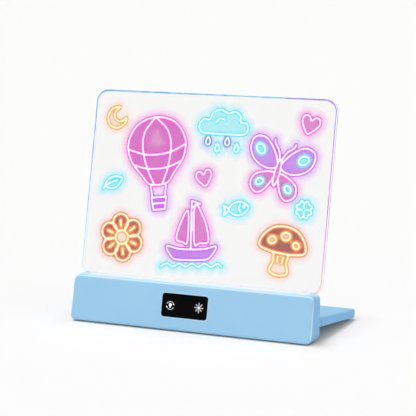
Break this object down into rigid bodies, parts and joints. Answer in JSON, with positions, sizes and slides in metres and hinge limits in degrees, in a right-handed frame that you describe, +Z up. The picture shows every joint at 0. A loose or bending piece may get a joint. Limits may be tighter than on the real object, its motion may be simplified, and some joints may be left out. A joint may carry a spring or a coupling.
{
  "type": "led drawing board",
  "caption": "Upright clear drawing sheet, edge-lit from a slim plastic bar with a touch window, propped by a wide plate that folds out behind the bar.",
  "frame": {"origin": "middle of the whole outline seen from above, on the surface that the rubber feet stand on", "axes": "+X along the bar to its right end seen from the drawing side, +Y back towards the folding plate, +Z up"},
  "size_m": [0.231, 0.1112, 0.2014],
  "materials": {
    "blue_plastic": "satin moulded ABS, light blue",
    "clear_acrylic": "polished clear cast acrylic, edges lit",
    "black_gloss": "gloss black touch window with white printed symbols",
    "white_plastic": "plain white moulding",
    "board_green": "green solder mask",
    "board_white": "white solder mask",
    "led_body": "moulded led package with phosphor window",
    "steel": "zinc-plated steel",
    "spring_steel": "bright spring steel",
    "battery_wrap": "shrink wrap over a metal can",
    "rubber": "soft dark grey rubber",
    "lead_red": "red wire insulation",
    "lead_black": "black wire insulation",
    "lead_white": "white wire insulation",
    "chip_black": "moulded chip package"
  },
  "bodies": {
    "bar": {"front_housing": "blue_plastic", "rear_cover": "blue_plastic", "battery_cell": "battery_wrap", "usb_socket": "steel", "usb_board": "board_green", "charge_lead": "lead_black", "light_lead": "lead_white", "battery_lead_red": "lead_red", "battery_lead_black": "lead_black", "bar_foot_left": "rubber", "bar_foot_right": "rubber", "touch_window": "black_gloss", "main_board": "board_green", "control_chip": "chip_black", "touch_spring_left": "spring_steel", "touch_spring_right": "spring_steel", "charge_lead_socket": "white_plastic", "light_lead_socket": "white_plastic", "battery_lead_socket": "white_plastic", "drawing_panel": "clear_acrylic", "light_channel": "white_plastic", "led_board": "board_white", "led_1": "led_body", "led_2": "led_body", "led_3": "led_body", "led_4": "led_body", "led_5": "led_body", "led_6": "led_body", "led_7": "led_body", "led_8": "led_body", "cover_screw_1": "steel", "cover_screw_2": "steel", "cover_screw_3": "steel", "cover_screw_4": "steel", "cover_screw_5": "steel"},
    "stand": {"stand_top_shell": "blue_plastic", "stand_bottom_cover": "blue_plastic", "hinge_rod": "steel", "rod_plug_left": "blue_plastic", "rod_plug_right": "blue_plastic", "friction_washer_left_outer": "spring_steel", "friction_washer_left_inner": "spring_steel", "friction_washer_right_outer": "spring_steel", "friction_washer_right_inner": "spring_steel", "stand_foot_left": "rubber", "stand_foot_right": "rubber", "stand_screw_1": "steel", "stand_screw_2": "steel", "stand_screw_3": "steel", "stand_screw_4": "steel"}
  },
  "joints": [
    {"name": "stand_fold", "type": "hinge", "parent": "bar", "child": "stand", "pos_m": [-0.00062, -0.02838, 0.01453], "axis": [1, 0, 0], "range_deg": [0, 84]}
  ]
}
